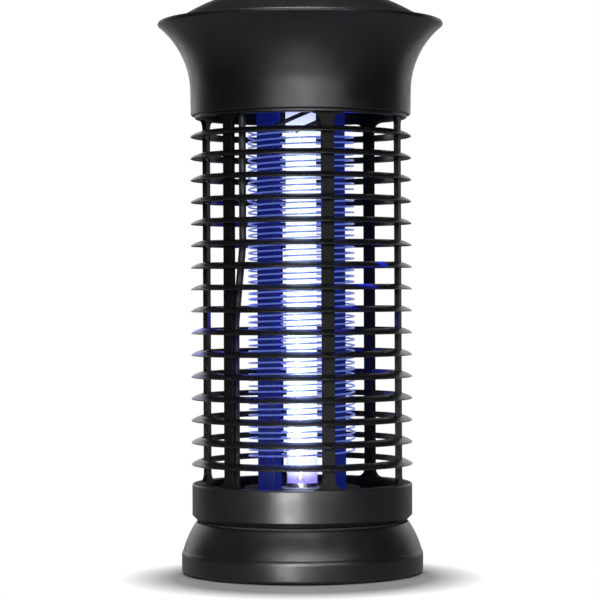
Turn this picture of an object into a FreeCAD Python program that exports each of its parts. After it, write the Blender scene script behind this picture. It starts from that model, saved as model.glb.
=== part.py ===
"""Electric bug zapper: a flared hood over a louvred cage, a lamp inside a wire-wound grid,
and a round foot with a catch tray that unscrews from the cage.

All lengths are in millimetres.  +Z is up, the origin is on the floor under the lamp's axis.
"""
import math
import os

import FreeCAD
import Part

# ---------------------------------------------------------------- driving dimensions
foot_r = 63.6  # foot, radius at the floor
foot_clear = 0.6  # height of the foot's shell above the floor, on its pads
foot_band_top = 9.8  # where the foot's upright band starts to round over
foot_crease = (62.8, 12.3)  # radius and height of the crease between band and slope
foot_belly = (60.2, 19.5)  # point halfway up the bulging slope
foot_deck = 27.0  # deck that carries the housing
foot_deck_r = 55.8
foot_wall = 2.4
pad_r = 6.0
pad_circle = 50.0
pad_depth = 2.0

spigot_r = 48.4  # collar on the foot that the base ring turns on
spigot_wall = 1.8
spigot_top = 40.5
lug_lead = 54.0  # rise of the bayonet lugs for one full turn
lug_half_angle = 15.0
lug_thick = 2.4
lug_count = 3
lug_mid_z = 36.5  # middle height of the foot's lugs
turn_gap = 0.3  # clearance between the pieces that turn or lift

tray_r = 46.2
tray_wall = 1.6
tray_top = 39.0

seal_r_in = 51.2
seal_r_out = 54.6
seal_top = 28.1

ring_r = 58.0  # base ring of the cage
ring_bore = 51.0
ring_bottom = 28.4
ring_bevel = 2.3  # sloping lower edge of the base ring
ring_top = 47.2

rib_count = 6
rib_r_in = 51.0
rib_r_out = 53.4
rib_width = 6.4
rib_root = 4.6  # radius of the fillets that widen the rib at both ends

louvre_count = 16
louvre_first = 56.9  # underside of the lowest louvre
louvre_last = 229.3
louvre_r_in = 50.6
louvre_r_out = 58.3
louvre_thick = 3.0
louvre_flat_r = 52.8  # the upper face slopes down from here to the thin outer edge
louvre_edge = 0.7

cage_top_bottom = 239.1  # ring that joins the ribs inside the hood's collar
cage_top_r = 56.0

collar_bottom = 240.7  # hood
collar_r = 58.0
collar_wall = 1.9
flare_start = 253.0
flare_r0 = 58.2
flare_r1 = 75.0
flare_end = 288.0
hood_wall = 2.4
ceiling = 250.0  # underside of the hood's floor plate
ceiling_thick = 2.4
lip_top = 290.1
seat_r = 70.4  # recess in the rim that takes the cover
seat_z = 286.0
seat_width = 3.6

dome_r = 69.4
dome_edge = 288.4
dome_crown = 310.2
dome_wall = 2.2
dome_flat_r = 18.0

pivot_z = 315.2  # hanging loop
loop_wire_r = 2.0
loop_half_width = 21.0
loop_reach = 44.0
loop_bore_clear = 0.05
bracket_half = 13.0
bracket_flange_r = 17.0

lamp_r = 8.0  # slim tube lamp with two pins at each end
lamp_wall = 0.8
lamp_bottom = 41.0
lamp_length = 212.1
lamp_cap = 6.2
pin_r = 1.15
pin_length = 6.8
pin_pitch = 4.75

holder_r = 11.0
lower_holder_bottom = 31.5
lower_holder_top = 45.0
upper_holder_bottom = 247.2
upper_holder_top = 263.0

arm_width = 5.0
arm_bottom = 41.0
arm_top = 44.0
carrier_r_in = 22.0
carrier_r_out = 30.6
plate_bottom = 246.5

post_r_in = 21.6
post_r_out = 27.2
post_width = 12.0
wire_r = 0.45  # grid wires
coil_r = 27.7
coil_pitch = 6.1
arcs_per_turn = 12
live_wire = (8.0, 59.4, 28.52)  # angle and height where it starts, and its turns
return_wire = (2.0, 62.4, 27.6)  # runs midway between the turns of the other
riser_r = 28.5  # insulated ends of the wires, which climb to the ceiling
riser_wire_r = 1.1
riser_lead = 76.0
riser_step = 12.0

lamp_lead_r = 1.85  # sleeved lead that runs down inside the cage to the lower holder
lead_circle = 46.6
lead_top_angle = 184.9
lead_low_angle = 178.5
lead_bend_top = 172.0
lead_bend_low = 132.0

board_z = 268.0  # electronics inside the hood
board_r = 47.0
board_thick = 1.6
standoff_r = 3.4
standoff_x = 34.0
standoff_y = 24.0
screw_r = 1.5

gland_z = 258.5
gland_bore = 3.2
gland_shank = 4.8
gland_flange = 7.0
gland_out = 70.0
gland_in = 50.0

up = FreeCAD.Vector(0, 0, 1)


# ---------------------------------------------------------------- small tools
def vec(x, y, z):
    return FreeCAD.Vector(x, y, z)


def polar(radius, degrees, z):
    a = math.radians(degrees)
    return vec(radius * math.cos(a), radius * math.sin(a), z)


def disc(radius, z0, z1, x=0.0, y=0.0):
    return Part.makeCylinder(radius, z1 - z0, vec(x, y, z0), up)


def block(x0, x1, y0, y1, z0, z1):
    return Part.makeBox(x1 - x0, y1 - y0, z1 - z0, vec(x0, y0, z0))


def ring(r_in, r_out, z0, z1):
    return disc(r_out, z0, z1).cut(disc(r_in, z0, z1))


def turned(shape, degrees):
    copy = shape.copy()
    copy.rotate(vec(0, 0, 0), up, degrees)
    return copy


def around(shape, count, start=0.0):
    return [turned(shape, start + 360.0 * i / count) for i in range(count)]


def fuse(shapes):
    return shapes[0].multiFuse(shapes[1:]).removeSplitter()


def lathe(edges):
    """Solid turned about the Z axis from edges that close in the XZ plane."""
    face = Part.Face(Part.Wire(edges))
    solid = face.revolve(vec(0, 0, 0), up, 360)
    return solid if solid.Volume > 0 else solid.reversed()


def outline(points):
    """Straight edges through (radius, height) points, not closed."""
    spots = [vec(r, 0, z) for r, z in points]
    return [Part.makeLine(a, b) for a, b in zip(spots, spots[1:])]


def arc(a, mid, b):
    return Part.Arc(vec(a[0], 0, a[1]), vec(mid[0], 0, mid[1]), vec(b[0], 0, b[1])).toShape()


def turned_polygon(points):
    return lathe(outline(points + points[:1]))


def rounded_path(points, radius):
    """Wire through the points with every inner corner rounded."""
    edges = []
    start = points[0]
    for before, corner, after in zip(points, points[1:], points[2:]):
        u = (before - corner).normalize()
        v = (after - corner).normalize()
        half = u.getAngle(v) / 2
        back = radius / math.tan(half)
        centre = corner + (u + v).normalize() * (radius / math.sin(half))
        a = corner + u * back
        b = corner + v * back
        middle = centre + (corner - centre).normalize() * radius
        edges.append(Part.makeLine(start, a))
        edges.append(Part.Arc(a, middle, b).toShape())
        start = b
    edges.append(Part.makeLine(start, points[-1]))
    return Part.Wire(edges)


def bent_rod(points, radius, bend):
    """Round rod or insulated lead along a bent path."""
    path = rounded_path(points, bend)
    direction = (points[1] - points[0]).normalize()
    profile = Part.Wire([Part.Circle(points[0], direction, radius).toShape()])
    return path.makePipeShell([profile], True, True)


def screw(x, y, z_head, length, radius, head=1.8):
    """Pan-head screw standing on its tip, with a cross recess in the head."""
    shank = disc(radius, z_head - length, z_head, x, y)
    cap = Part.makeCone(radius * 2.1, radius * 1.5, head, vec(x, y, z_head), up)
    slot = block(x - radius * 1.1, x + radius * 1.1, y - 0.35, y + 0.35, z_head + head - 0.9, z_head + head)
    cross = slot.copy()
    cross.rotate(vec(x, y, 0), up, 90)
    return fuse([shank, cap]).cut(slot.fuse(cross))


def bayonet_lug(r_in, r_out, z_mid, angle):
    """One lug that climbs around the axis with the bayonet's lead."""
    rise = lug_lead * 2 * lug_half_angle / 360.0
    middle = (r_in + r_out) / 2
    path = Part.Wire(Part.makeHelix(lug_lead, rise, middle))
    half = lug_thick / 2
    corners = [vec(r_in, 0, -half), vec(r_out, 0, -half), vec(r_out, 0, half), vec(r_in, 0, half)]
    profile = Part.makePolygon(corners + corners[:1])
    lug = path.makePipeShell([profile], True, True)
    lug.translate(vec(0, 0, z_mid - rise / 2))
    return turned(lug, angle - lug_half_angle)


# ---------------------------------------------------------------- foot and catch tray
def base_foot():
    inner_r = foot_r - foot_wall
    low = (foot_r - 1.6, foot_clear)
    band = (foot_r, foot_clear + 1.6)
    shoulder = (foot_deck_r + 0.5, foot_deck - 0.5)
    edges = outline([(0, foot_clear), low])
    edges.append(arc(low, (foot_r - 0.47, foot_clear + 0.47), band))
    edges += outline([band, (foot_r, foot_band_top)])
    rolled = (foot_r - 0.2, (foot_band_top + foot_crease[1]) / 2)
    edges.append(arc((foot_r, foot_band_top), rolled, foot_crease))
    edges.append(arc(foot_crease, foot_belly, shoulder))
    edges += outline(
        [
            shoulder,
            (foot_deck_r, foot_deck),
            (seal_r_out + turn_gap, foot_deck),
            (seal_r_out + turn_gap, seal_top - 1.9),
            (seal_r_in - turn_gap, seal_top - 1.9),
            (seal_r_in - turn_gap, foot_deck),
            (spigot_r, foot_deck),
            (spigot_r, spigot_top - 0.4),
            (spigot_r - 0.4, spigot_top),
            (spigot_r - spigot_wall, spigot_top),
            (spigot_r - spigot_wall, foot_deck - 3.0),
            (foot_deck_r - 2.0, foot_deck - 3.0),
            (foot_belly[0] - foot_wall, foot_belly[1] - 1.2),
            (inner_r, foot_band_top),
            (inner_r, foot_clear + foot_wall),
            (0, foot_clear + foot_wall),
            (0, foot_clear),
        ]
    )
    shell = lathe(edges)
    lug = bayonet_lug(spigot_r - 0.6, ring_bore - turn_gap, lug_mid_z, 0)
    body = fuse([shell] + around(lug, lug_count))
    recess = disc(pad_r, 0, pad_depth, pad_circle, 0)
    return body.cut(Part.makeCompound(around(recess, 4, 45)))


def foot_pads():
    pad = disc(pad_r, 0, pad_depth, pad_circle, 0)
    pad = pad.makeChamfer(0.4, [e for e in pad.Edges if abs(e.BoundBox.ZMax) < 0.01])
    return Part.makeCompound(around(pad, 4, 45))


def catch_tray():
    floor = foot_clear + foot_wall
    low_r = tray_r - 1.6
    return turned_polygon(
        [
            (0, floor),
            (low_r - 1.5, floor),
            (low_r, floor + 1.5),
            (tray_r - 0.4, tray_top - 3.0),
            (tray_r, tray_top - 3.0),
            (tray_r, tray_top),
            (tray_r - tray_wall, tray_top),
            (low_r - tray_wall, floor + tray_wall + 1.2),
            (low_r - tray_wall - 1.2, floor + tray_wall),
            (0, floor + tray_wall),
        ]
    )


def base_seal():
    bottom = seal_top - 1.9 + turn_gap
    middle = (seal_r_in + seal_r_out) / 2
    return turned_polygon(
        [
            (seal_r_in, bottom),
            (seal_r_out, bottom),
            (seal_r_out, seal_top - 0.5),
            (middle + 0.8, seal_top),
            (middle - 0.8, seal_top),
            (seal_r_in, seal_top - 0.5),
        ]
    )


# ---------------------------------------------------------------- cage
def base_ring():
    body = turned_polygon(
        [
            (ring_bore, ring_bottom),
            (ring_r - ring_bevel, ring_bottom),
            (ring_r, ring_bottom + ring_bevel),
            (ring_r, ring_top - 0.8),
            (ring_r - 0.25, ring_top - 0.25),
            (ring_r - 0.8, ring_top),
            (ring_bore, ring_top),
        ]
    )
    lug_z = lug_mid_z - lug_thick - turn_gap
    lug = bayonet_lug(spigot_r + turn_gap, ring_bore + 0.6, lug_z, 0)
    return fuse([body] + around(lug, lug_count))


def cage_ribs():
    """Upright ribs, widened by a fillet on each side where they meet the rings."""
    half = rib_width / 2
    sag = rib_root * (1 - math.sqrt(0.5))
    low = ring_top + 0.4
    high = cage_top_bottom - 0.4

    def spot(y, z):
        return vec(rib_r_in, y, z)

    edges = []
    for side in (1, -1):
        spread = side * (half + rib_root)
        foot = [spot(0, ring_top), spot(spread, ring_top), spot(spread, low)]
        head = [spot(spread, high), spot(spread, cage_top_bottom)]
        head.append(spot(0, cage_top_bottom))
        waist = [spot(side * half, low + rib_root), spot(side * half, high - rib_root)]
        for chain in (foot, waist, head):
            edges += [Part.makeLine(a, b) for a, b in zip(chain, chain[1:])]
        edges.append(Part.Arc(foot[-1], spot(side * (half + sag), low + sag), waist[0]).toShape())
        edges.append(Part.Arc(waist[1], spot(side * (half + sag), high - sag), head[0]).toShape())
    face = Part.Face(Part.Wire(Part.__sortEdges__(edges)))
    rib = face.extrude(vec(rib_r_out - rib_r_in, 0, 0))
    return Part.makeCompound(around(rib, rib_count))


def cage_top_ring():
    return turned_polygon(
        [
            (rib_r_in, cage_top_bottom),
            (cage_top_r - 0.5, cage_top_bottom),
            (cage_top_r, cage_top_bottom + 0.5),
            (cage_top_r, ceiling),
            (rib_r_in, ceiling),
        ]
    )


def louvre_rings():
    """Flat underside, upper face sloping down to a thin outer edge."""
    tip = (louvre_r_out - 0.2, louvre_edge)
    crown = ((tip[0] + louvre_flat_r) / 2, (louvre_edge + louvre_thick) / 2 + 0.35)
    edge = outline(
        [
            (louvre_flat_r, louvre_thick),
            (louvre_r_in, louvre_thick),
            (louvre_r_in, 0),
            (louvre_r_out - 0.3, 0),
            (louvre_r_out, 0.3),
            tip,
        ]
    )
    edge.append(arc(tip, crown, (louvre_flat_r, louvre_thick)))
    blade = lathe(edge)
    notch = block(0, rib_r_out, -rib_width / 2, rib_width / 2, -1, louvre_thick + 1)
    blade = blade.cut(Part.makeCompound(around(notch, rib_count)))
    step = (louvre_last - louvre_first) / (louvre_count - 1)
    blades = []
    for i in range(louvre_count):
        copy = blade.copy()
        copy.translate(vec(0, 0, louvre_first + i * step))
        blades.append(copy)
    return Part.makeCompound(blades)


# ---------------------------------------------------------------- hood and cover
def flare_arc(offset, z0, z1):
    """Arc of the flare's section, moved inwards by offset, between two heights."""
    run = flare_r1 - flare_r0
    rise = flare_end - flare_start
    radius = (run * run + rise * rise) / (2 * run)
    centre_r = flare_r0 + radius

    def spot(z):
        dz = z - flare_start
        return (centre_r - math.sqrt((radius + offset) ** 2 - dz * dz), z)

    return spot(z0), spot((z0 + z1) / 2), spot(z1)


def hood():
    outer = flare_arc(0, flare_start, flare_end)
    inner = flare_arc(hood_wall, ceiling + ceiling_thick, seat_z - 3.5)
    collar_in = collar_r - collar_wall
    rim = (flare_r1 - 1.6, lip_top)
    edges = outline(
        [
            (holder_r + 0.1, ceiling),
            (collar_in, ceiling),
            (collar_in, collar_bottom),
            (collar_r - 0.7, collar_bottom),
            (collar_r - 0.2, collar_bottom + 0.25),
            (collar_r, collar_bottom + 0.7),
            outer[0],
        ]
    )
    edges.append(arc(*outer))
    edges.append(arc(outer[2], (flare_r1 + 0.1, lip_top - 0.9), rim))
    edges += outline(
        [
            rim,
            (seat_r + 1.0, lip_top - 0.3),
            (seat_r, lip_top - 1.2),
            (seat_r, seat_z),
            (seat_r - seat_width, seat_z),
            inner[2],
        ]
    )
    edges.append(arc(inner[2], inner[1], inner[0]))
    edges += outline([inner[0], (holder_r + 0.1, ceiling + ceiling_thick), (holder_r + 0.1, ceiling)])
    shell = lathe(edges)
    posts = []
    for x in (-standoff_x, standoff_x):
        for y in (-standoff_y, standoff_y):
            posts.append(disc(standoff_r, ceiling + 1.0, board_z, x, y))
    body = fuse([shell] + posts)
    holes = [Part.makeCylinder(gland_shank, 30, vec(0, 45, gland_z), vec(0, 1, 0))]
    holes.append(Part.makeCylinder(gland_flange, 10, vec(0, flare_r0 + 0.9, gland_z), vec(0, 1, 0)))
    for x in (-standoff_x, standoff_x):
        for y in (-standoff_y, standoff_y):
            holes.append(disc(screw_r, board_z - 9.0, board_z, x, y))
    lead = polar(lead_circle, lead_top_angle, 0)
    holes.append(disc(lamp_lead_r + 0.3, ceiling, ceiling + ceiling_thick, lead.x, lead.y))
    ceiling_top = ceiling + ceiling_thick
    holes += [disc(riser_wire_r + 0.2, ceiling, ceiling_top, top.x, top.y) for top in riser_tops()]
    return body.cut(Part.makeCompound(holes))


def dome_height(radius, drop=0.0):
    """Height of the cover's skin above a point at this radius; drop gives the inner skin."""
    run = dome_r
    rise = dome_crown - dome_edge
    ball = (run * run + rise * rise) / (2 * rise)
    return dome_crown - ball + math.sqrt((ball - drop) ** 2 - radius * radius)


def dome_cover():
    inner_r = dome_r - dome_wall
    flat = dome_height(dome_flat_r)
    half = (dome_r + dome_flat_r) / 2
    edges = outline([(0, flat - dome_wall - 1.2), (dome_flat_r - 3.0, flat - dome_wall - 1.2)])
    start = (inner_r - 3.0, dome_height(inner_r - 3.0, dome_wall))
    inner_half = (half - 3.0, dome_height(half - 3.0, dome_wall))
    lower = (dome_flat_r - 1.0, dome_height(dome_flat_r - 1.0, dome_wall))
    edges += outline([(dome_flat_r - 3.0, flat - dome_wall - 1.2), lower])
    edges.append(arc(lower, inner_half, start))
    edges += outline(
        [
            start,
            (inner_r, start[1] - 2.2),
            (inner_r, seat_z),
            (dome_r - 0.3, seat_z),
            (dome_r, seat_z + 0.3),
            (dome_r, dome_edge - 0.5),
            (dome_r - 0.5, dome_height(dome_r - 0.5)),
        ]
    )
    edges.append(
        arc(
            (dome_r - 0.5, dome_height(dome_r - 0.5)),
            (half, dome_height(half)),
            (dome_flat_r, flat),
        )
    )
    edges += outline([(dome_flat_r, flat), (0, flat), (0, flat - dome_wall - 1.2)])
    shell = lathe(edges)
    holes = [disc(2.1, flat - 8, flat + 1, x, 0) for x in (-8.5, 8.5)]
    return shell.cut(Part.makeCompound(holes))


# ---------------------------------------------------------------- hanging loop
def hang_bracket():
    flat = dome_height(dome_flat_r)
    flange = turned_polygon(
        [
            (0, flat),
            (bracket_flange_r, flat),
            (bracket_flange_r, flat + 1.6),
            (bracket_flange_r - 0.9, flat + 2.5),
            (0, flat + 2.5),
        ]
    )
    lug = block(-bracket_half, bracket_half, -5.2, 5.2, flat + 1.0, pivot_z)
    crown = Part.makeCylinder(5.2, 2 * bracket_half, vec(-bracket_half, 0, pivot_z), vec(1, 0, 0))
    body = fuse([flange, lug, crown])
    bore_r = loop_wire_r + loop_bore_clear
    bore = Part.makeCylinder(bore_r, 2 * bracket_half + 2, vec(-bracket_half - 1, 0, pivot_z), vec(1, 0, 0))
    holes = [disc(1.6, flat - 1, flat + 3.4, x, 0) for x in (-8.5, 8.5)]
    return body.cut(Part.makeCompound([bore] + holes))


def bracket_screws():
    flat = dome_height(dome_flat_r)
    under = flat - dome_wall - 1.2
    screws = []
    for x in (-8.5, 8.5):
        one = screw(x, 0, under, 6.6, 1.6, 2.0)
        one.rotate(vec(x, 0, under), vec(1, 0, 0), 180)
        screws.append(one)
    return Part.makeCompound(screws)


def hang_loop():
    """Wire loop lying folded on the back of the cover, its tips inside the bracket."""
    corners = [
        (-5.0, 0.0),
        (-loop_half_width, 0.0),
        (-loop_half_width, 17.0),
        (-9.0, loop_reach),
        (9.0, loop_reach),
        (loop_half_width, 17.0),
        (loop_half_width, 0.0),
        (5.0, 0.0),
    ]
    loop = bent_rod([vec(x, y, pivot_z) for x, y in corners], loop_wire_r, 5.0)
    tip_z = dome_height(loop_reach) + loop_wire_r + 1.6
    tilt = math.degrees(math.asin((pivot_z - tip_z) / loop_reach))
    loop.rotate(vec(0, 0, pivot_z), vec(1, 0, 0), -tilt)
    return loop


# ---------------------------------------------------------------- lamp
def lamp_tube():
    low = lamp_bottom + 1.0
    high = lamp_bottom + lamp_length - 1.0
    end = 1.2
    return disc(lamp_r, low, high).cut(disc(lamp_r - lamp_wall, low + end, high - end))


def lamp_cap_at(face, side):
    """Metal cap over one end of the tube; face is its outer plane, side points into the lamp."""
    plate = sorted((face, face + side))
    sleeve = sorted((face + side, face + side * lamp_cap))
    cap = disc(lamp_r + 0.45, plate[0], plate[1])
    return fuse([cap, ring(lamp_r, lamp_r + 0.45, sleeve[0], sleeve[1])])


def lamp_caps():
    top = lamp_bottom + lamp_length
    return Part.makeCompound([lamp_cap_at(lamp_bottom, 1), lamp_cap_at(top, -1)])


def pins_at(z0, z1, radius):
    return [disc(radius, z0, z1, x, 0) for x in (-pin_pitch / 2, pin_pitch / 2)]


def lamp_pins():
    top = lamp_bottom + lamp_length
    pins = pins_at(lamp_bottom - pin_length, lamp_bottom, pin_r)
    pins += pins_at(top, top + pin_length, pin_r)
    return Part.makeCompound(pins)


def lower_lamp_holder():
    body = turned_polygon(
        [
            (0, lower_holder_bottom),
            (holder_r - 2.0, lower_holder_bottom),
            (holder_r, lower_holder_bottom + 2.0),
            (holder_r, lower_holder_top - 0.4),
            (holder_r - 0.4, lower_holder_top),
            (lamp_r + 0.7, lower_holder_top),
            (lamp_r + 0.7, lamp_bottom),
            (0, lamp_bottom),
        ]
    )
    return body.cut(Part.makeCompound(pins_at(lamp_bottom - pin_length, lamp_bottom, pin_r + 0.05)))


def upper_lamp_holder():
    face = lamp_bottom + lamp_length
    shelf = ceiling + ceiling_thick
    body = turned_polygon(
        [
            (0, face),
            (lamp_r + 0.7, face),
            (lamp_r + 0.7, upper_holder_bottom),
            (holder_r, upper_holder_bottom),
            (holder_r, shelf),
            (holder_r + 3.5, shelf),
            (holder_r + 3.5, shelf + 1.6),
            (holder_r, shelf + 1.6),
            (holder_r, upper_holder_top - 1.0),
            (holder_r - 1.0, upper_holder_top),
            (0, upper_holder_top),
        ]
    )
    return body.cut(Part.makeCompound(pins_at(face, face + pin_length, pin_r + 0.05)))


# ---------------------------------------------------------------- high-voltage grid
def carrier():
    """Spider that centres the lower lamp holder and the grid posts in the base ring."""
    hub = ring(holder_r, holder_r + 3.0, arm_bottom, lower_holder_top - 0.6)
    seat = ring(carrier_r_in, carrier_r_out, arm_bottom, lower_holder_top)
    arm = block(holder_r + 1.5, ring_bore, -arm_width / 2, arm_width / 2, arm_bottom, arm_top)
    arm = arm.common(disc(ring_bore, 0, 60))
    return fuse([hub, seat] + around(arm, 4, 45))


def grid_top_plate():
    plate = turned_polygon(
        [
            (holder_r + 0.6, plate_bottom),
            (carrier_r_out + 1.0, plate_bottom),
            (carrier_r_out + 1.6, plate_bottom + 0.6),
            (carrier_r_out + 1.6, ceiling),
            (holder_r + 0.6, ceiling),
        ]
    )
    holes = [disc(riser_wire_r + 0.2, plate_bottom, ceiling, top.x, top.y) for top in riser_tops()]
    return plate.cut(Part.makeCompound(holes))


def grid_posts():
    bar = block(post_r_in, post_r_out + 1, -post_width / 2, post_width / 2, lower_holder_top, plate_bottom)
    bar = bar.common(disc(post_r_out, 0, 300))
    return Part.makeCompound(around(bar, 4))


def winding(turns):
    """Centre line of a wire that climbs around the posts, as short arcs."""
    count = math.ceil(turns * arcs_per_turn)
    step = turns * 360.0 / count

    def spot(k):
        return polar(coil_r, step * k, coil_pitch * step * k / 360.0)

    return Part.Wire([Part.Arc(spot(k), spot(k + 0.5), spot(k + 1)).toShape() for k in range(count)])


def electrode(angle, z0, turns):
    """One of the two bare wires wound over the posts."""
    profile = Part.Wire([Part.Circle(vec(coil_r, 0, 0), vec(0, 1, 0.035), wire_r).toShape()])
    coil = winding(turns).makePipeShell([profile], True, True)
    coil.translate(vec(0, 0, z0))
    return turned(coil, angle)


def electrode_live():
    return electrode(*live_wire)


def electrode_return():
    return electrode(*return_wire)


def riser_points(angle, z0, turns):
    """Points along an insulated end: it climbs around the posts, then straight up to the board."""
    angle += 360.0 * turns + 1.2
    z = z0 + coil_pitch * turns
    points = [polar(riser_r, angle, z)]
    while z < plate_bottom - riser_wire_r - 3.0:
        angle += riser_step
        z += riser_lead * riser_step / 360.0
        points.append(polar(riser_r, angle, z))
    return points + [polar(riser_r, angle, board_z)]


def riser_tops():
    return [riser_points(*wire)[-1] for wire in (live_wire, return_wire)]


def grid_leads():
    return Part.makeCompound(
        [bent_rod(riser_points(*wire), riser_wire_r, 1.4) for wire in (live_wire, return_wire)]
    )


def lamp_lead():
    """Lead that runs down inside a rib, under the posts' seat and into the lower holder."""
    over = arm_bottom + lamp_lead_r + 0.6
    under = arm_bottom - lamp_lead_r - 0.25
    points = [
        polar(lead_circle, lead_top_angle, board_z),
        polar(lead_circle, lead_top_angle, lead_bend_top),
        polar(lead_circle, lead_low_angle, lead_bend_low),
        polar(lead_circle, lead_low_angle, over),
        polar(carrier_r_out + 7.0, lead_low_angle, over),
        polar(carrier_r_out + 2.4, lead_low_angle, under),
        polar(holder_r, lead_low_angle, under),
    ]
    return bent_rod(points, lamp_lead_r, 2.6)


# ---------------------------------------------------------------- electronics in the hood
def circuit_board():
    plate = disc(board_r, board_z, board_z + board_thick)
    flat = block(-60, 60, 36, 60, board_z - 1, board_z + 3)
    holes = [flat]
    for x in (-standoff_x, standoff_x):
        for y in (-standoff_y, standoff_y):
            holes.append(disc(screw_r + 0.1, board_z, board_z + board_thick, x, y))
    return plate.cut(Part.makeCompound(holes))


def board_screws():
    head = board_z + board_thick
    screws = []
    for x in (-standoff_x, standoff_x):
        for y in (-standoff_y, standoff_y):
            screws.append(screw(x, y, head, 9.0, screw_r))
    return Part.makeCompound(screws)


def transformer():
    z = board_z + board_thick
    core = block(-30, -6, -22, -2, z + 2.0, z + 16.0)
    windings = Part.makeCylinder(8.6, 17.0, vec(-18, -20.5, z + 9.0), vec(0, 1, 0))
    feet = [disc(0.6, z, z + 2.5, x, y) for x in (-26, -10) for y in (-19, -5)]
    return fuse([core, windings] + feet)


def ballast_coil():
    z = board_z + board_thick
    flange = disc(8.0, z, z + 1.4, 14, -16)
    core = disc(6.6, z + 1.4, z + 12.6, 14, -16)
    cap = disc(8.0, z + 12.6, z + 14.0, 14, -16)
    return fuse([flange, core, cap])


def capacitors():
    z = board_z + board_thick
    drums = [disc(4.0, z, z + 12.5, x, 12.0) for x in (-28, -18)]
    films = [block(x, x + 5.0, 4, 17, z, z + 10.0) for x in (-8, 0, 8)]
    films = [f.makeFillet(0.8, [e for e in f.Edges if e.BoundBox.ZLength > 5]) for f in films]
    return Part.makeCompound(drums + films)


def diodes():
    z = board_z + board_thick + 1.5
    return Part.makeCompound(
        [Part.makeCylinder(1.3, 6.0, vec(22, y, z), vec(1, 0, 0)) for y in (-4, 0, 4, 8)]
    )


def terminal_block():
    z = board_z + board_thick
    body = block(-10, 10, 24, 34, z, z + 11.0)
    body = body.makeFillet(0.6, [e for e in body.Edges if e.BoundBox.ZLength > 5])
    mouths = [Part.makeCylinder(1.7, 6, vec(x, 28, z + 4.0), vec(0, 1, 0)) for x in (-5, 5)]
    wells = [disc(1.9, z + 6.5, z + 12, x, 29) for x in (-5, 5)]
    return body.cut(Part.makeCompound(mouths + wells))


def supply_leads():
    """Two leads from the cord entry up to the terminal block."""
    z = board_z + board_thick + 4.0
    leads = []
    for x in (-5, 5):
        side = 1.4 if x > 0 else -1.4
        points = [vec(side, gland_in - 4.0, gland_z), vec(side, 42.0, gland_z)]
        points += [vec(x, 40.0, z), vec(x, 31.0, z)]
        leads.append(bent_rod(points, 1.0, 1.2))
    return Part.makeCompound(leads)


def cord_gland():
    """Bush in the hood's collar that a supply cord would pass through."""
    axis = vec(0, 1, 0)
    wall = flare_r0 + 0.9
    shank = Part.makeCylinder(gland_shank, gland_out - gland_in, vec(0, gland_in, gland_z), axis)
    flange = Part.makeCylinder(gland_flange, 2.2, vec(0, wall, gland_z), axis)
    grip = Part.makeCone(gland_flange - 0.6, gland_shank + 0.6, 7.0, vec(0, wall + 2.2, gland_z), axis)
    nut = Part.makeCylinder(gland_flange - 1.0, 3.0, vec(0, 51.6, gland_z), axis)
    bore = Part.makeCylinder(gland_bore, 60, vec(0, gland_in - 5, gland_z), axis)
    return fuse([shank, flange, grip, nut]).cut(bore)


nodes = {
    "base_foot": base_foot,
    "foot_pads": foot_pads,
    "catch_tray": catch_tray,
    "base_seal": base_seal,
    "base_ring": base_ring,
    "cage_ribs": cage_ribs,
    "cage_top_ring": cage_top_ring,
    "louvre_rings": louvre_rings,
    "hood": hood,
    "dome_cover": dome_cover,
    "hang_bracket": hang_bracket,
    "bracket_screws": bracket_screws,
    "hang_loop": hang_loop,
    "lamp_tube": lamp_tube,
    "lamp_caps": lamp_caps,
    "lamp_pins": lamp_pins,
    "lower_lamp_holder": lower_lamp_holder,
    "upper_lamp_holder": upper_lamp_holder,
    "carrier": carrier,
    "grid_top_plate": grid_top_plate,
    "grid_posts": grid_posts,
    "electrode_live": electrode_live,
    "electrode_return": electrode_return,
    "grid_leads": grid_leads,
    "lamp_lead": lamp_lead,
    "circuit_board": circuit_board,
    "board_screws": board_screws,
    "transformer": transformer,
    "ballast_coil": ballast_coil,
    "capacitors": capacitors,
    "diodes": diodes,
    "terminal_block": terminal_block,
    "supply_leads": supply_leads,
    "cord_gland": cord_gland,
}

os.makedirs("parts", exist_ok=True)
for name, make in nodes.items():
    shape = make()
    print(name, len(shape.Solids), "solids", shape.isValid(), round(shape.Volume))
    shape.exportStep("parts/" + name + ".step")
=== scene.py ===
"""Looks for the electric bug zapper: materials, lamp glow, studio light and camera around the CAD frame."""
import math

import bpy
from mathutils import Euler, Matrix, Vector

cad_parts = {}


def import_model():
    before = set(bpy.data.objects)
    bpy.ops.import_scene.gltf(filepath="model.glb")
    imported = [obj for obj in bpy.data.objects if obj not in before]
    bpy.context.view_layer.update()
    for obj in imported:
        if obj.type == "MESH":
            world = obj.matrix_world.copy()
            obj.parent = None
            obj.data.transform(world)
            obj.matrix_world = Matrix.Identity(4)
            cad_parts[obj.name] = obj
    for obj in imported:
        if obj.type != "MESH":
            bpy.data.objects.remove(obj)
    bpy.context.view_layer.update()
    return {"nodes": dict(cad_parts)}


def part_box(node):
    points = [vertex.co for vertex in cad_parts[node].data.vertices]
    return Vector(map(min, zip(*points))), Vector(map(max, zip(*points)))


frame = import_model()
nodes = frame["nodes"]


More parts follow.
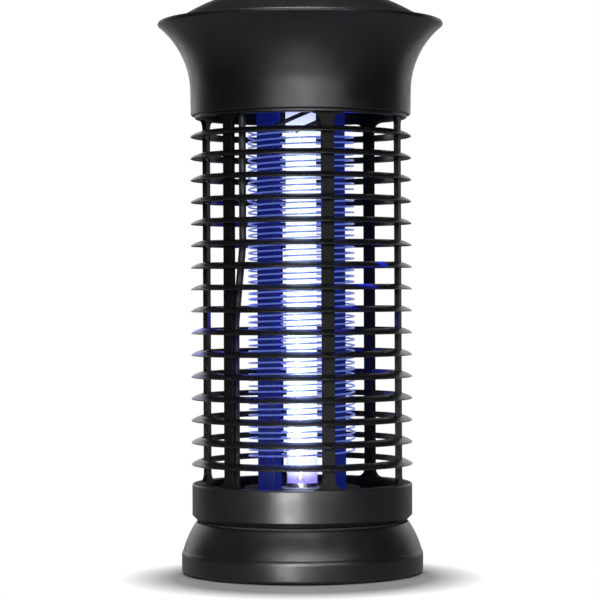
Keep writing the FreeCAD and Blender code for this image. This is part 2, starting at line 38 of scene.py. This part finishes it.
# ---------------------------------------------------------------- shader helpers
class Shader:
    """A material's node tree with short calls for the nodes used here."""

    def __init__(self, name):
        self.material = bpy.data.materials.new(name)
        self.material.use_nodes = True
        self.tree = self.material.node_tree
        self.bsdf = self.tree.nodes["Principled BSDF"]
        self.place = self.add("ShaderNodeTexCoord").outputs["Object"]

    def add(self, kind, **settings):
        node = self.tree.nodes.new(kind)
        for key, value in settings.items():
            setattr(node, key, value)
        return node

    def link(self, a, b):
        self.tree.links.new(a, b)

    def set(self, **values):
        for key, value in values.items():
            self.bsdf.inputs[key.replace("_", " ")].default_value = value

    def noise(self, scale, detail=4.0, rough=0.55, stretch=(1, 1, 1)):
        mapping = self.add("ShaderNodeMapping")
        mapping.inputs["Scale"].default_value = stretch
        self.link(self.place, mapping.inputs["Vector"])
        node = self.add("ShaderNodeTexNoise")
        node.inputs["Scale"].default_value = scale
        node.inputs["Detail"].default_value = detail
        node.inputs["Roughness"].default_value = rough
        self.link(mapping.outputs[0], node.inputs["Vector"])
        return node.outputs["Fac"]

    def remap(self, value, low, high, out_low, out_high):
        node = self.add("ShaderNodeMapRange")
        for key, number in zip(("From Min", "From Max", "To Min", "To Max"), (low, high, out_low, out_high)):
            node.inputs[key].default_value = number
        self.link(value, node.inputs["Value"])
        return node.outputs["Result"]

    def math(self, operation, a, b):
        node = self.add("ShaderNodeMath", operation=operation)
        for socket, item in zip(node.inputs, (a, b)):
            if isinstance(item, (int, float)):
                socket.default_value = item
            else:
                self.link(item, socket)
        return node.outputs[0]

    def ramp(self, value, stops):
        node = self.add("ShaderNodeValToRGB")
        elements = node.color_ramp.elements
        while len(elements) < len(stops):
            elements.new(0.5)
        for element, (position, colour) in zip(elements, stops):
            element.position = position
            element.color = (*colour, 1)
        self.link(value, node.inputs["Fac"])
        return node.outputs["Color"]

    def mix(self, factor, a, b):
        node = self.add("ShaderNodeMix", data_type="RGBA")
        self.link(factor, node.inputs["Factor"])
        for socket, item in ((node.inputs["A"], a), (node.inputs["B"], b)):
            if isinstance(item, tuple):
                socket.default_value = (*item, 1)
            else:
                self.link(item, socket)
        return node.outputs["Result"]

    def edges(self, radius):
        """1 on sharp edges, 0 on open faces."""
        bevel = self.add("ShaderNodeBevel", samples=4)
        bevel.inputs["Radius"].default_value = radius
        normal = self.add("ShaderNodeNewGeometry").outputs["Normal"]
        dot = self.add("ShaderNodeVectorMath", operation="DOT_PRODUCT")
        self.link(bevel.outputs[0], dot.inputs[0])
        self.link(normal, dot.inputs[1])
        return self.remap(dot.outputs["Value"], 0.995, 0.80, 0.0, 1.0)

    def facing_up(self):
        split = self.add("ShaderNodeSeparateXYZ")
        self.link(self.add("ShaderNodeNewGeometry").outputs["Normal"], split.inputs[0])
        return split.outputs["Z"]

    def height(self):
        split = self.add("ShaderNodeSeparateXYZ")
        self.link(self.place, split.inputs[0])
        return split.outputs["Z"]

    def bump(self, *layers, soften=0.0):
        """Bump from (height, distance) layers, one over another, over rounded edges if asked."""
        previous = None
        if soften:
            bevel = self.add("ShaderNodeBevel", samples=4)
            bevel.inputs["Radius"].default_value = soften
            previous = bevel.outputs[0]
        for value, distance in layers:
            node = self.add("ShaderNodeBump")
            node.inputs["Strength"].default_value = 1.0
            node.inputs["Distance"].default_value = distance
            self.link(value, node.inputs["Height"])
            if previous is not None:
                self.link(previous, node.inputs["Normal"])
            previous = node.outputs[0]
        self.link(previous, self.bsdf.inputs["Normal"])

    def colour(self, socket):
        self.link(socket, self.bsdf.inputs["Base Color"])

    def roughness(self, socket):
        self.link(socket, self.bsdf.inputs["Roughness"])


spark_grain = 2600.0
dust_cover = 0.05
dust_grey = (0.30, 0.30, 0.29)


def painted_lamp_glow(s, near, far, inner, outer):
    """Painted lamp light: emission in a part round the lamp, falling off with the distance from the lamp's
    axis.
    """
    flat = s.add("ShaderNodeVectorMath", operation="MULTIPLY")
    flat.inputs[1].default_value = (1, 1, 0)
    s.link(s.place, flat.inputs[0])
    out = s.add("ShaderNodeVectorMath", operation="LENGTH")
    s.link(flat.outputs[0], out.inputs[0])
    fall = s.remap(out.outputs["Value"], inner, outer, 0.0, 1.0)
    uneven = s.math("MULTIPLY", fall, s.remap(s.noise(60.0, 3.0), 0.3, 0.7, 0.85, 1.1))
    s.link(s.ramp(uneven, [(0.0, near), (1.0, far)]), s.bsdf.inputs["Emission Color"])
    s.set(Emission_Strength=1.0)


def moulded(name, dark, light, rough, wear=(0.03, 0.031, 0.033), soften=0.0004, level=0.5, glow=None):
    """Moulded plastic: fine spark-eroded grain, slow mottling, rubbed edges and a little settled dust."""
    s = Shader(name)
    slow = s.noise(38.0, 5.0)
    fine = s.noise(spark_grain, 2.0, 0.6)
    base = s.ramp(slow, [(0.35, dark), (0.7, light)])
    rubbed = s.math("MULTIPLY", s.edges(0.0005), s.remap(s.noise(220.0), 0.42, 0.62, 0.0, 0.55))
    dust = s.remap(s.noise(420.0, 6.0, 0.7), 0.5, 0.8, 0.0, dust_cover)
    dusty = s.math("MULTIPLY", s.remap(s.facing_up(), 0.55, 1.0, 0.0, 1.0), dust)
    worn = s.mix(rubbed, base, wear)
    s.colour(s.mix(dusty, worn, dust_grey))
    s.roughness(s.remap(s.noise(90.0, 6.0, 0.6), 0.3, 0.7, rough - 0.05, rough + 0.07))
    s.bump((fine, 0.000035), (slow, 0.0001), soften=soften)
    s.set(IOR=1.52, Specular_IOR_Level=level)
    # painted lamp light: emission on a part round the tube
    if glow:
        painted_lamp_glow(s, *glow)
    return s.material


def rubber(name, tone, rough=0.75):
    s = Shader(name)
    speck = s.noise(1500.0, 3.0)
    s.colour(s.ramp(s.noise(60.0), [(0.3, tone), (0.75, tuple(1.7 * c for c in tone))]))
    s.roughness(s.remap(speck, 0.3, 0.7, rough - 0.1, rough + 0.1))
    s.bump((speck, 0.00005))
    s.set(IOR=1.5)
    return s.material


def metal(name, low, high, rough, stretch=(1, 1, 1), scale=900.0, glow=None):
    """Drawn or stamped metal with fine streaks along one direction."""
    s = Shader(name)
    streak = s.noise(scale, 5.0, 0.6, stretch)
    s.colour(s.ramp(s.noise(55.0, 5.0), [(0.3, low), (0.7, high)]))
    s.roughness(s.remap(streak, 0.3, 0.7, rough - 0.06, rough + 0.12))
    s.bump((streak, 0.00002))
    s.set(Metallic=1.0)
    # painted lamp light: emission on a part round the tube
    if glow:
        painted_lamp_glow(s, *glow)
    return s.material


def glossy(name, low, high, rough, scale=160.0):
    s = Shader(name)
    s.colour(s.ramp(s.noise(scale, 5.0), [(0.35, low), (0.65, high)]))
    s.roughness(s.remap(s.noise(scale * 3), 0.3, 0.7, rough - 0.04, rough + 0.08))
    s.bump((s.noise(scale * 9), 0.00002), soften=0.0003)
    s.set(IOR=1.5)
    return s.material


def lamp_glass(low, high):
    """Glowing tube: violet towards its ends, white in between, with a faint unevenness of the powder."""
    s = Shader("lamp_glow")
    along = s.remap(s.height(), low, high, 0.0, 1.0)
    violet = (0.20, 0.17, 0.62)
    pale = (0.46, 0.50, 0.86)
    white = (0.74, 0.88, 0.96)
    foot = [(0.0, violet), (0.035, violet), (0.06, pale), (0.16, white)]
    head = [(0.88, white), (0.95, pale), (1.0, violet)]
    glow = s.ramp(along, foot + head)
    powder = s.remap(s.noise(120.0, 3.0), 0.3, 0.7, 0.93, 1.0)
    shade = s.add("ShaderNodeMix", data_type="RGBA", blend_type="MULTIPLY")
    shade.inputs["Factor"].default_value = 1.0
    s.link(glow, shade.inputs["A"])
    s.link(powder, shade.inputs["B"])
    s.link(shade.outputs["Result"], s.bsdf.inputs["Emission Color"])
    s.link(shade.outputs["Result"], s.bsdf.inputs["Base Color"])
    s.roughness(s.remap(s.noise(400.0), 0.3, 0.7, 0.08, 0.14))
    s.set(Emission_Strength=1.3, IOR=1.5)
    return s.material


def board():
    """Circuit board: solder mask with copper tracks showing through."""
    s = Shader("board_mask")
    brick = s.add("ShaderNodeTexBrick")
    brick.inputs["Scale"].default_value = 160.0
    brick.inputs["Mortar Size"].default_value = 0.03
    brick.inputs["Color1"].default_value = (0.012, 0.085, 0.03, 1)
    brick.inputs["Color2"].default_value = (0.018, 0.11, 0.04, 1)
    brick.inputs["Mortar"].default_value = (0.04, 0.2, 0.08, 1)
    s.link(s.place, brick.inputs["Vector"])
    s.colour(brick.outputs["Color"])
    s.roughness(s.remap(s.noise(300.0), 0.3, 0.7, 0.25, 0.4))
    s.bump((brick.outputs["Fac"], 0.00004))
    return s.material


# Plastics: dark tone, light tone, roughness. Painted lamp glow: near tone, far tone, and the radii between
# which it fades.
post_painted_glow = ((0.004, 0.010, 0.22), (0.001, 0.004, 0.035), 0.020, 0.031)
wire_painted_glow = ((0.09, 0.13, 0.46), (0.03, 0.05, 0.20), 0.026, 0.034)
black = moulded("abs_black", (0.0024, 0.0025, 0.0026), (0.0040, 0.0041, 0.0044), 0.36)
foot_black = moulded("abs_foot", (0.0028, 0.0029, 0.003), (0.0045, 0.0046, 0.0049), 0.33)
louvre_black = moulded("abs_louvre", (0.003, 0.0031, 0.0033), (0.005, 0.0051, 0.0054), 0.26, soften=0.0002)
# ribs: the cage's black plastic made darker as painted shade, also rougher and with less sheen
rib_black_painted_shade = moulded("abs_rib_painted_shade", (0.0012, 0.0013, 0.0014), (0.0024, 0.0025, 0.0027), 0.55, level=0.2)
# carrier, top plate and posts: the blue in their black is painted lamp light
inner_black_painted_blue = moulded("abs_inner_painted_blue", (0.003, 0.004, 0.008), (0.006, 0.007, 0.012), 0.5, level=0.3)
post_black_painted_blue = moulded("abs_post_painted_blue", (0.003, 0.004, 0.008), (0.006, 0.007, 0.012), 0.5, level=0.3, glow=post_painted_glow)
tray_black = moulded("tray_plastic", (0.016, 0.016, 0.017), (0.026, 0.026, 0.028), 0.45)
white = moulded("holder_white", (0.62, 0.63, 0.65), (0.70, 0.71, 0.73), 0.30, wear=(0.75, 0.75, 0.76))
wire = metal("grid_wire", (0.34, 0.36, 0.46), (0.48, 0.50, 0.60), 0.26, glow=wire_painted_glow)
steel = metal("loop_steel", (0.50, 0.51, 0.53), (0.64, 0.65, 0.67), 0.24, (1, 1, 0.2))
screw_steel = metal("screw_steel", (0.42, 0.42, 0.44), (0.56, 0.56, 0.58), 0.3)
alu = metal("lamp_metal", (0.66, 0.67, 0.69), (0.78, 0.79, 0.81), 0.28, (1, 1, 0.1))
brass = metal("pin_brass", (0.62, 0.46, 0.2), (0.74, 0.58, 0.28), 0.28)
copper = metal("copper", (0.5, 0.2, 0.09), (0.66, 0.3, 0.14), 0.32, (0.1, 0.1, 6))
pad_rubber = rubber("pad_rubber", (0.011, 0.011, 0.012))
seal_rubber = rubber("seal_rubber", (0.009, 0.009, 0.009), 0.68)
lead_black = rubber("lead_black", (0.012, 0.012, 0.014), 0.5)
lead_dark = rubber("lead_dark", (0.02, 0.016, 0.03), 0.45)
ferrite = glossy("ferrite", (0.02, 0.02, 0.022), (0.035, 0.035, 0.038), 0.5)
film_red = glossy("film_red", (0.30, 0.045, 0.02), (0.42, 0.07, 0.03), 0.22)
diode_black = glossy("diode_black", (0.012, 0.012, 0.012), (0.022, 0.022, 0.022), 0.3)
block_white = glossy("block_white", (0.55, 0.57, 0.53), (0.66, 0.68, 0.64), 0.35)

lamp_low, lamp_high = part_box("lamp_tube")
finishes = {
    "base_foot": foot_black,
    "foot_pads": pad_rubber,
    "catch_tray": tray_black,
    "base_seal": seal_rubber,
    "base_ring": black,
    "cage_ribs": rib_black_painted_shade,
    "cage_top_ring": black,
    "louvre_rings": louvre_black,
    "hood": black,
    "dome_cover": black,
    "hang_bracket": black,
    "bracket_screws": screw_steel,
    "hang_loop": steel,
    "lamp_tube": lamp_glass(lamp_low.z, lamp_high.z),
    "lamp_caps": alu,
    "lamp_pins": brass,
    "lower_lamp_holder": white,
    "upper_lamp_holder": white,
    "carrier": inner_black_painted_blue,
    "grid_top_plate": inner_black_painted_blue,
    "grid_posts": post_black_painted_blue,
    "electrode_live": wire,
    "electrode_return": wire,
    "grid_leads": lead_dark,
    "lamp_lead": lead_black,
    "circuit_board": board(),
    "board_screws": screw_steel,
    "transformer": ferrite,
    "ballast_coil": copper,
    "capacitors": film_red,
    "diodes": diode_black,
    "terminal_block": block_white,
    "supply_leads": lead_black,
    "cord_gland": black,
}
for name, finish in finishes.items():
    mesh = nodes[name].data
    mesh.materials.clear()
    mesh.materials.append(finish)


# ---------------------------------------------------------------- floor, light and camera
def floor():
    """Floor that is dark grey round the object, a painted shade under its real shadows, and turns into the
    same white as the surroundings away from it.
    """
    bpy.ops.mesh.primitive_circle_add(vertices=128, radius=9.0, fill_type="NGON")
    plane = bpy.context.object
    plane.name = "floor"
    s = Shader("floor_painted_shade")
    s.set(Roughness=0.55)
    # dark grey floor colour: painted shade round the foot, where a pale floor would be
    s.colour(s.ramp(s.noise(3.0), [(0.3, (0.24, 0.24, 0.24)), (0.7, (0.27, 0.27, 0.27))]))
    distance = s.add("ShaderNodeVectorMath", operation="DISTANCE")
    s.link(s.place, distance.inputs[0])
    distance.inputs[1].default_value = from_camera(0, shadow_lead, 0)
    away = s.remap(distance.outputs["Value"], white_from, white_to, 0.0, 1.0)
    seen = s.add("ShaderNodeLightPath").outputs["Is Camera Ray"]
    glow = s.add("ShaderNodeEmission")
    glow.inputs["Strength"].default_value = 1.0
    blend = s.add("ShaderNodeMixShader")
    s.link(s.math("MULTIPLY", away, seen), blend.inputs[0])
    s.link(s.bsdf.outputs[0], blend.inputs[1])
    s.link(glow.outputs[0], blend.inputs[2])
    s.link(blend.outputs[0], s.tree.nodes["Material Output"].inputs["Surface"])
    plane.data.materials.append(s.material)


def world():
    """White surroundings for the eye, dimmer for the light they give."""
    sky = bpy.data.worlds.new("studio")
    bpy.context.scene.world = sky
    sky.use_nodes = True
    tree = sky.node_tree
    back = tree.nodes["Background"]
    back.inputs["Color"].default_value = (1, 1, 1, 1)
    path = tree.nodes.new("ShaderNodeLightPath")
    strength = tree.nodes.new("ShaderNodeMapRange")
    strength.inputs["To Min"].default_value = 0.05
    strength.inputs["To Max"].default_value = 1.0
    tree.links.new(path.outputs["Is Camera Ray"], strength.inputs["Value"])
    tree.links.new(strength.outputs["Result"], back.inputs["Strength"])


def aimed(name, data, place, target):
    """Puts a light in the scene, turned to its target and unseen by the camera."""
    light = bpy.data.objects.new(name, data)
    bpy.context.scene.collection.objects.link(light)
    light.location = place
    light.rotation_euler = (Vector(target) - Vector(place)).to_track_quat("-Z", "Y").to_euler()
    light.visible_camera = False
    return light


def area(name, place, target, size, power, tint=(1, 1, 1)):
    """Soft panel: place, the point it faces, width and height in metres, watts."""
    data = bpy.data.lights.new(name, "AREA")
    data.shape = "RECTANGLE"
    data.size, data.size_y = size
    data.energy = power
    data.color = tint
    return aimed(name, data, place, target)


def spot(name, place, target, radius, power, cone):
    """Round lamp with a soft-edged cone, given in degrees."""
    data = bpy.data.lights.new(name, "SPOT")
    data.energy = power
    data.shadow_soft_size = radius
    data.spot_size = math.radians(cone)
    data.spot_blend = 0.7
    aimed(name, data, place, target)


def from_camera(side, ahead, z):
    """A point given by its distance to the right of the axis, towards the camera, and up."""
    right = Vector((math.cos(camera_turn), math.sin(camera_turn), 0))
    near = Vector((math.sin(camera_turn), -math.cos(camera_turn), 0))
    return right * side + near * ahead + Vector((0, 0, z))


camera_turn = math.radians(-45.0)
camera_distance = 1.3
camera_height = 0.1488
camera_roll = math.radians(-0.26)
white_from, white_to = 0.066, 0.094  # where the floor turns white, from a point a little before the axis
shadow_lead = 0.025

floor()
world()
# front light for the hood, low light for the base ring, rims and reflections from behind
area("key", from_camera(0.02, 1.3, 0.43), (0, 0, 0.2), (0.60, 0.24), 3.0)
area("wide_key", from_camera(0.08, 1.2, 0.46), (0, 0, 0.2), (1.7, 0.30), 9.0)
spot("low_key", from_camera(-0.118, 0.52, 0.045), (0, 0, 0.064), 0.05, 13.0, 15.0)
crease_key = area("crease_key", from_camera(-0.05, 0.70, 0.205), (0, 0, 0.0), (0.45, 0.06), 0.075)
crease_key.data.spread = math.radians(26)
area("rim_left", from_camera(-0.85, -0.95, 0.25), (0, 0, 0.16), (0.5, 1.1), 1.6)
area("rim_right", from_camera(0.85, -0.95, 0.25), (0, 0, 0.16), (0.5, 1.1), 1.3)
area("back_left", from_camera(-0.42, -1.2, 0.36), (0, 0, 0.16), (0.6, 0.7), 1.3)
area("back_right", from_camera(0.42, -1.2, 0.36), (0, 0, 0.16), (0.6, 0.7), 1.1)
area("top", from_camera(-0.03, 0.30, 1.1), (0, 0, 0.29), (0.5, 0.3), 9.0)
area("floor_bounce", from_camera(0.03, 0.86, 0.003), from_camera(0.03, 0.86, 1.0), (0.7, 0.8), 2.2)

# the tube's light on the plastic round it is far bluer than the tube looks
strip_count = 6
strip_width = 0.008
strip_gap = 0.0015
lamp_length = lamp_high.z - lamp_low.z
for i in range(strip_count):
    turn = math.radians(360 / strip_count * i + 15)
    out = Vector((math.cos(turn), math.sin(turn), 0))
    place = out * (lamp_high.x + strip_gap) + Vector((0, 0, lamp_low.z + lamp_length / 2))
    size = (strip_width, lamp_length * 0.94)
    strip = area(f"tube_light_{i}", place, place + out, size, 0.014, (0.02, 0.03, 1.0))
    strip.rotation_euler = out.to_track_quat("-Z", "Z").to_euler()

camera_data = bpy.data.cameras.new("camera")
camera_data.lens = 147.7
camera_data.sensor_width = 36.0
camera_data.shift_x = -0.0023
camera_data.shift_y = -0.0167
camera_data.clip_start = 0.02
camera = bpy.data.objects.new("camera", camera_data)
bpy.context.scene.collection.objects.link(camera)
camera.location = from_camera(0, camera_distance, camera_height)
level = Euler((math.radians(90), 0, camera_turn)).to_matrix()
camera.rotation_euler = (level @ Matrix.Rotation(camera_roll, 3, "Z")).to_euler()
bpy.context.scene.camera = camera

bpy.context.scene.view_settings.view_transform = "Standard"
